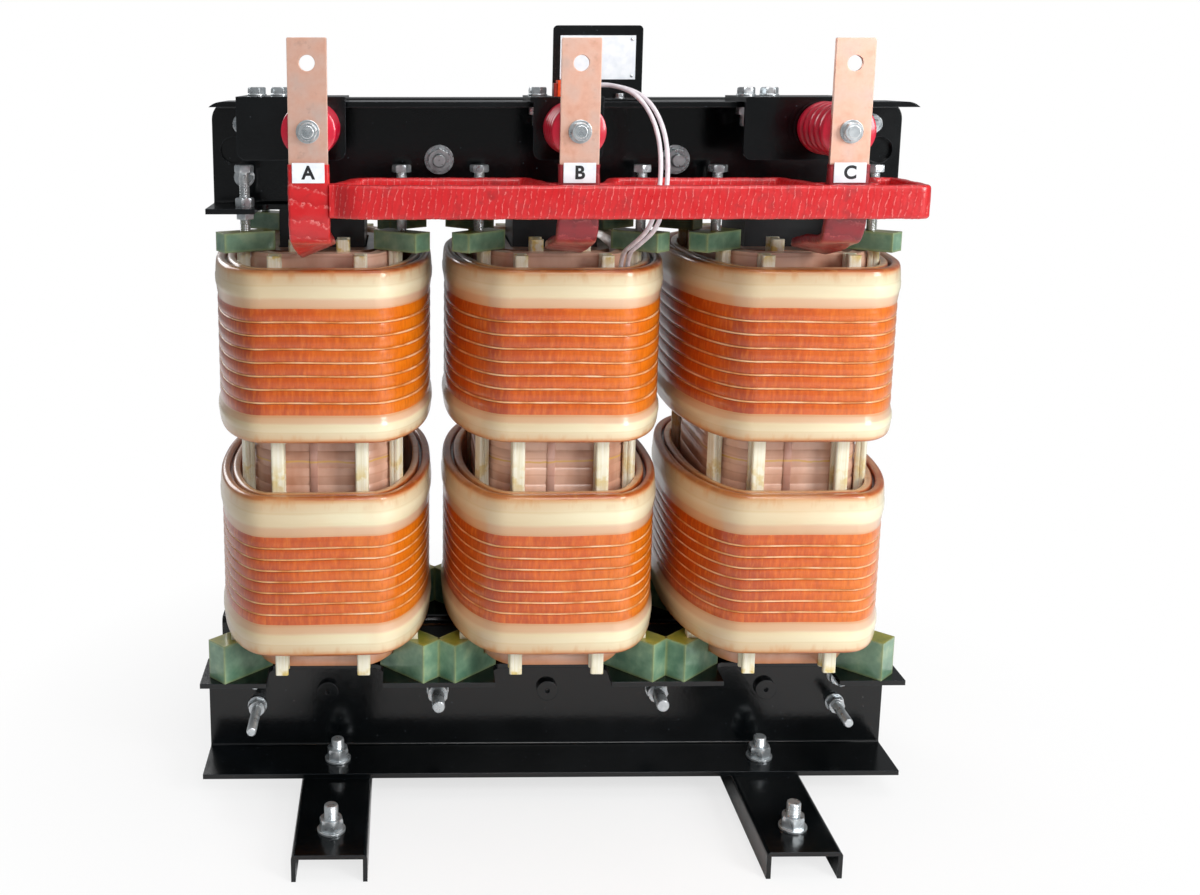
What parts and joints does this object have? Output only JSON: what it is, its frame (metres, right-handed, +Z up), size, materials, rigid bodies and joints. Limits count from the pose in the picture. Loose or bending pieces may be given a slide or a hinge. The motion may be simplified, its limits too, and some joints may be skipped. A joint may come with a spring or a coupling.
{
  "type": "three-phase dry-type power transformer",
  "caption": "Open dry-type transformer: limbed core in channel clamps on feet, stacked coils per phase, ribbed insulators with copper terminal bars and taped links.",
  "frame": {"origin": "on the floor, under the middle of the core", "axes": "+X to the right along the row of phases, -Y to the front with the terminals, +Z up"},
  "size_m": [0.848, 0.6, 0.926],
  "materials": {
    "core_steel": "satin varnish over stacked sheets",
    "pressboard": "varnished",
    "black_paint": "gloss",
    "foot_paint": "gloss",
    "orange_winding": "gloss varnish over covered conductor",
    "pink_winding": "varnished paper wrap",
    "cream_spacer": "pultruded glass fibre",
    "green_laminate": "glass laminate",
    "zinc_steel": "zinc plated",
    "insulator_red": "moulded resin",
    "bare_copper": "tarnished copper",
    "red_tape": "half lapped tape",
    "plate_white": "satin",
    "block_orange": "gloss",
    "lead_white": "satin"
  },
  "bodies": {
    "root": {"core_bolts": "zinc_steel", "core_bottom_yoke": "core_steel", "core_limbs": "core_steel", "core_top_yoke": "core_steel", "duct_spacers_a": "cream_spacer", "duct_spacers_b": "cream_spacer", "duct_spacers_c": "cream_spacer", "foot_studs": "zinc_steel", "front_link_bar": "red_tape", "front_lower_clamp": "black_paint", "front_upper_clamp": "black_paint", "inner_coil_a": "pink_winding", "inner_coil_b": "pink_winding", "inner_coil_c": "pink_winding", "left_foot": "foot_paint", "lower_support_blocks": "green_laminate", "middle_coil_a": "pink_winding", "middle_coil_b": "pink_winding", "middle_coil_c": "pink_winding", "nameplate": "plate_white", "nameplate_bracket": "black_paint", "outer_coil_a_lower": "orange_winding", "outer_coil_a_upper": "orange_winding", "outer_coil_b_lower": "orange_winding", "outer_coil_b_upper": "orange_winding", "outer_coil_c_lower": "orange_winding", "outer_coil_c_upper": "orange_winding", "pressing_bolts": "zinc_steel", "rear_link_bars": "red_tape", "rear_lower_clamp": "black_paint", "rear_upper_clamp": "black_paint", "right_foot": "foot_paint", "sensor_lead_left": "lead_white", "sensor_lead_right": "lead_white", "terminal_bars": "bare_copper", "terminal_block": "block_orange", "terminal_brackets": "black_paint", "terminal_fasteners": "zinc_steel", "terminal_insulators": "insulator_red", "tie_bolts": "zinc_steel", "upper_support_blocks": "green_laminate", "winding_leads": "red_tape", "yoke_caps": "black_paint", "yoke_insulation": "pressboard"}
  },
  "joints": []
}
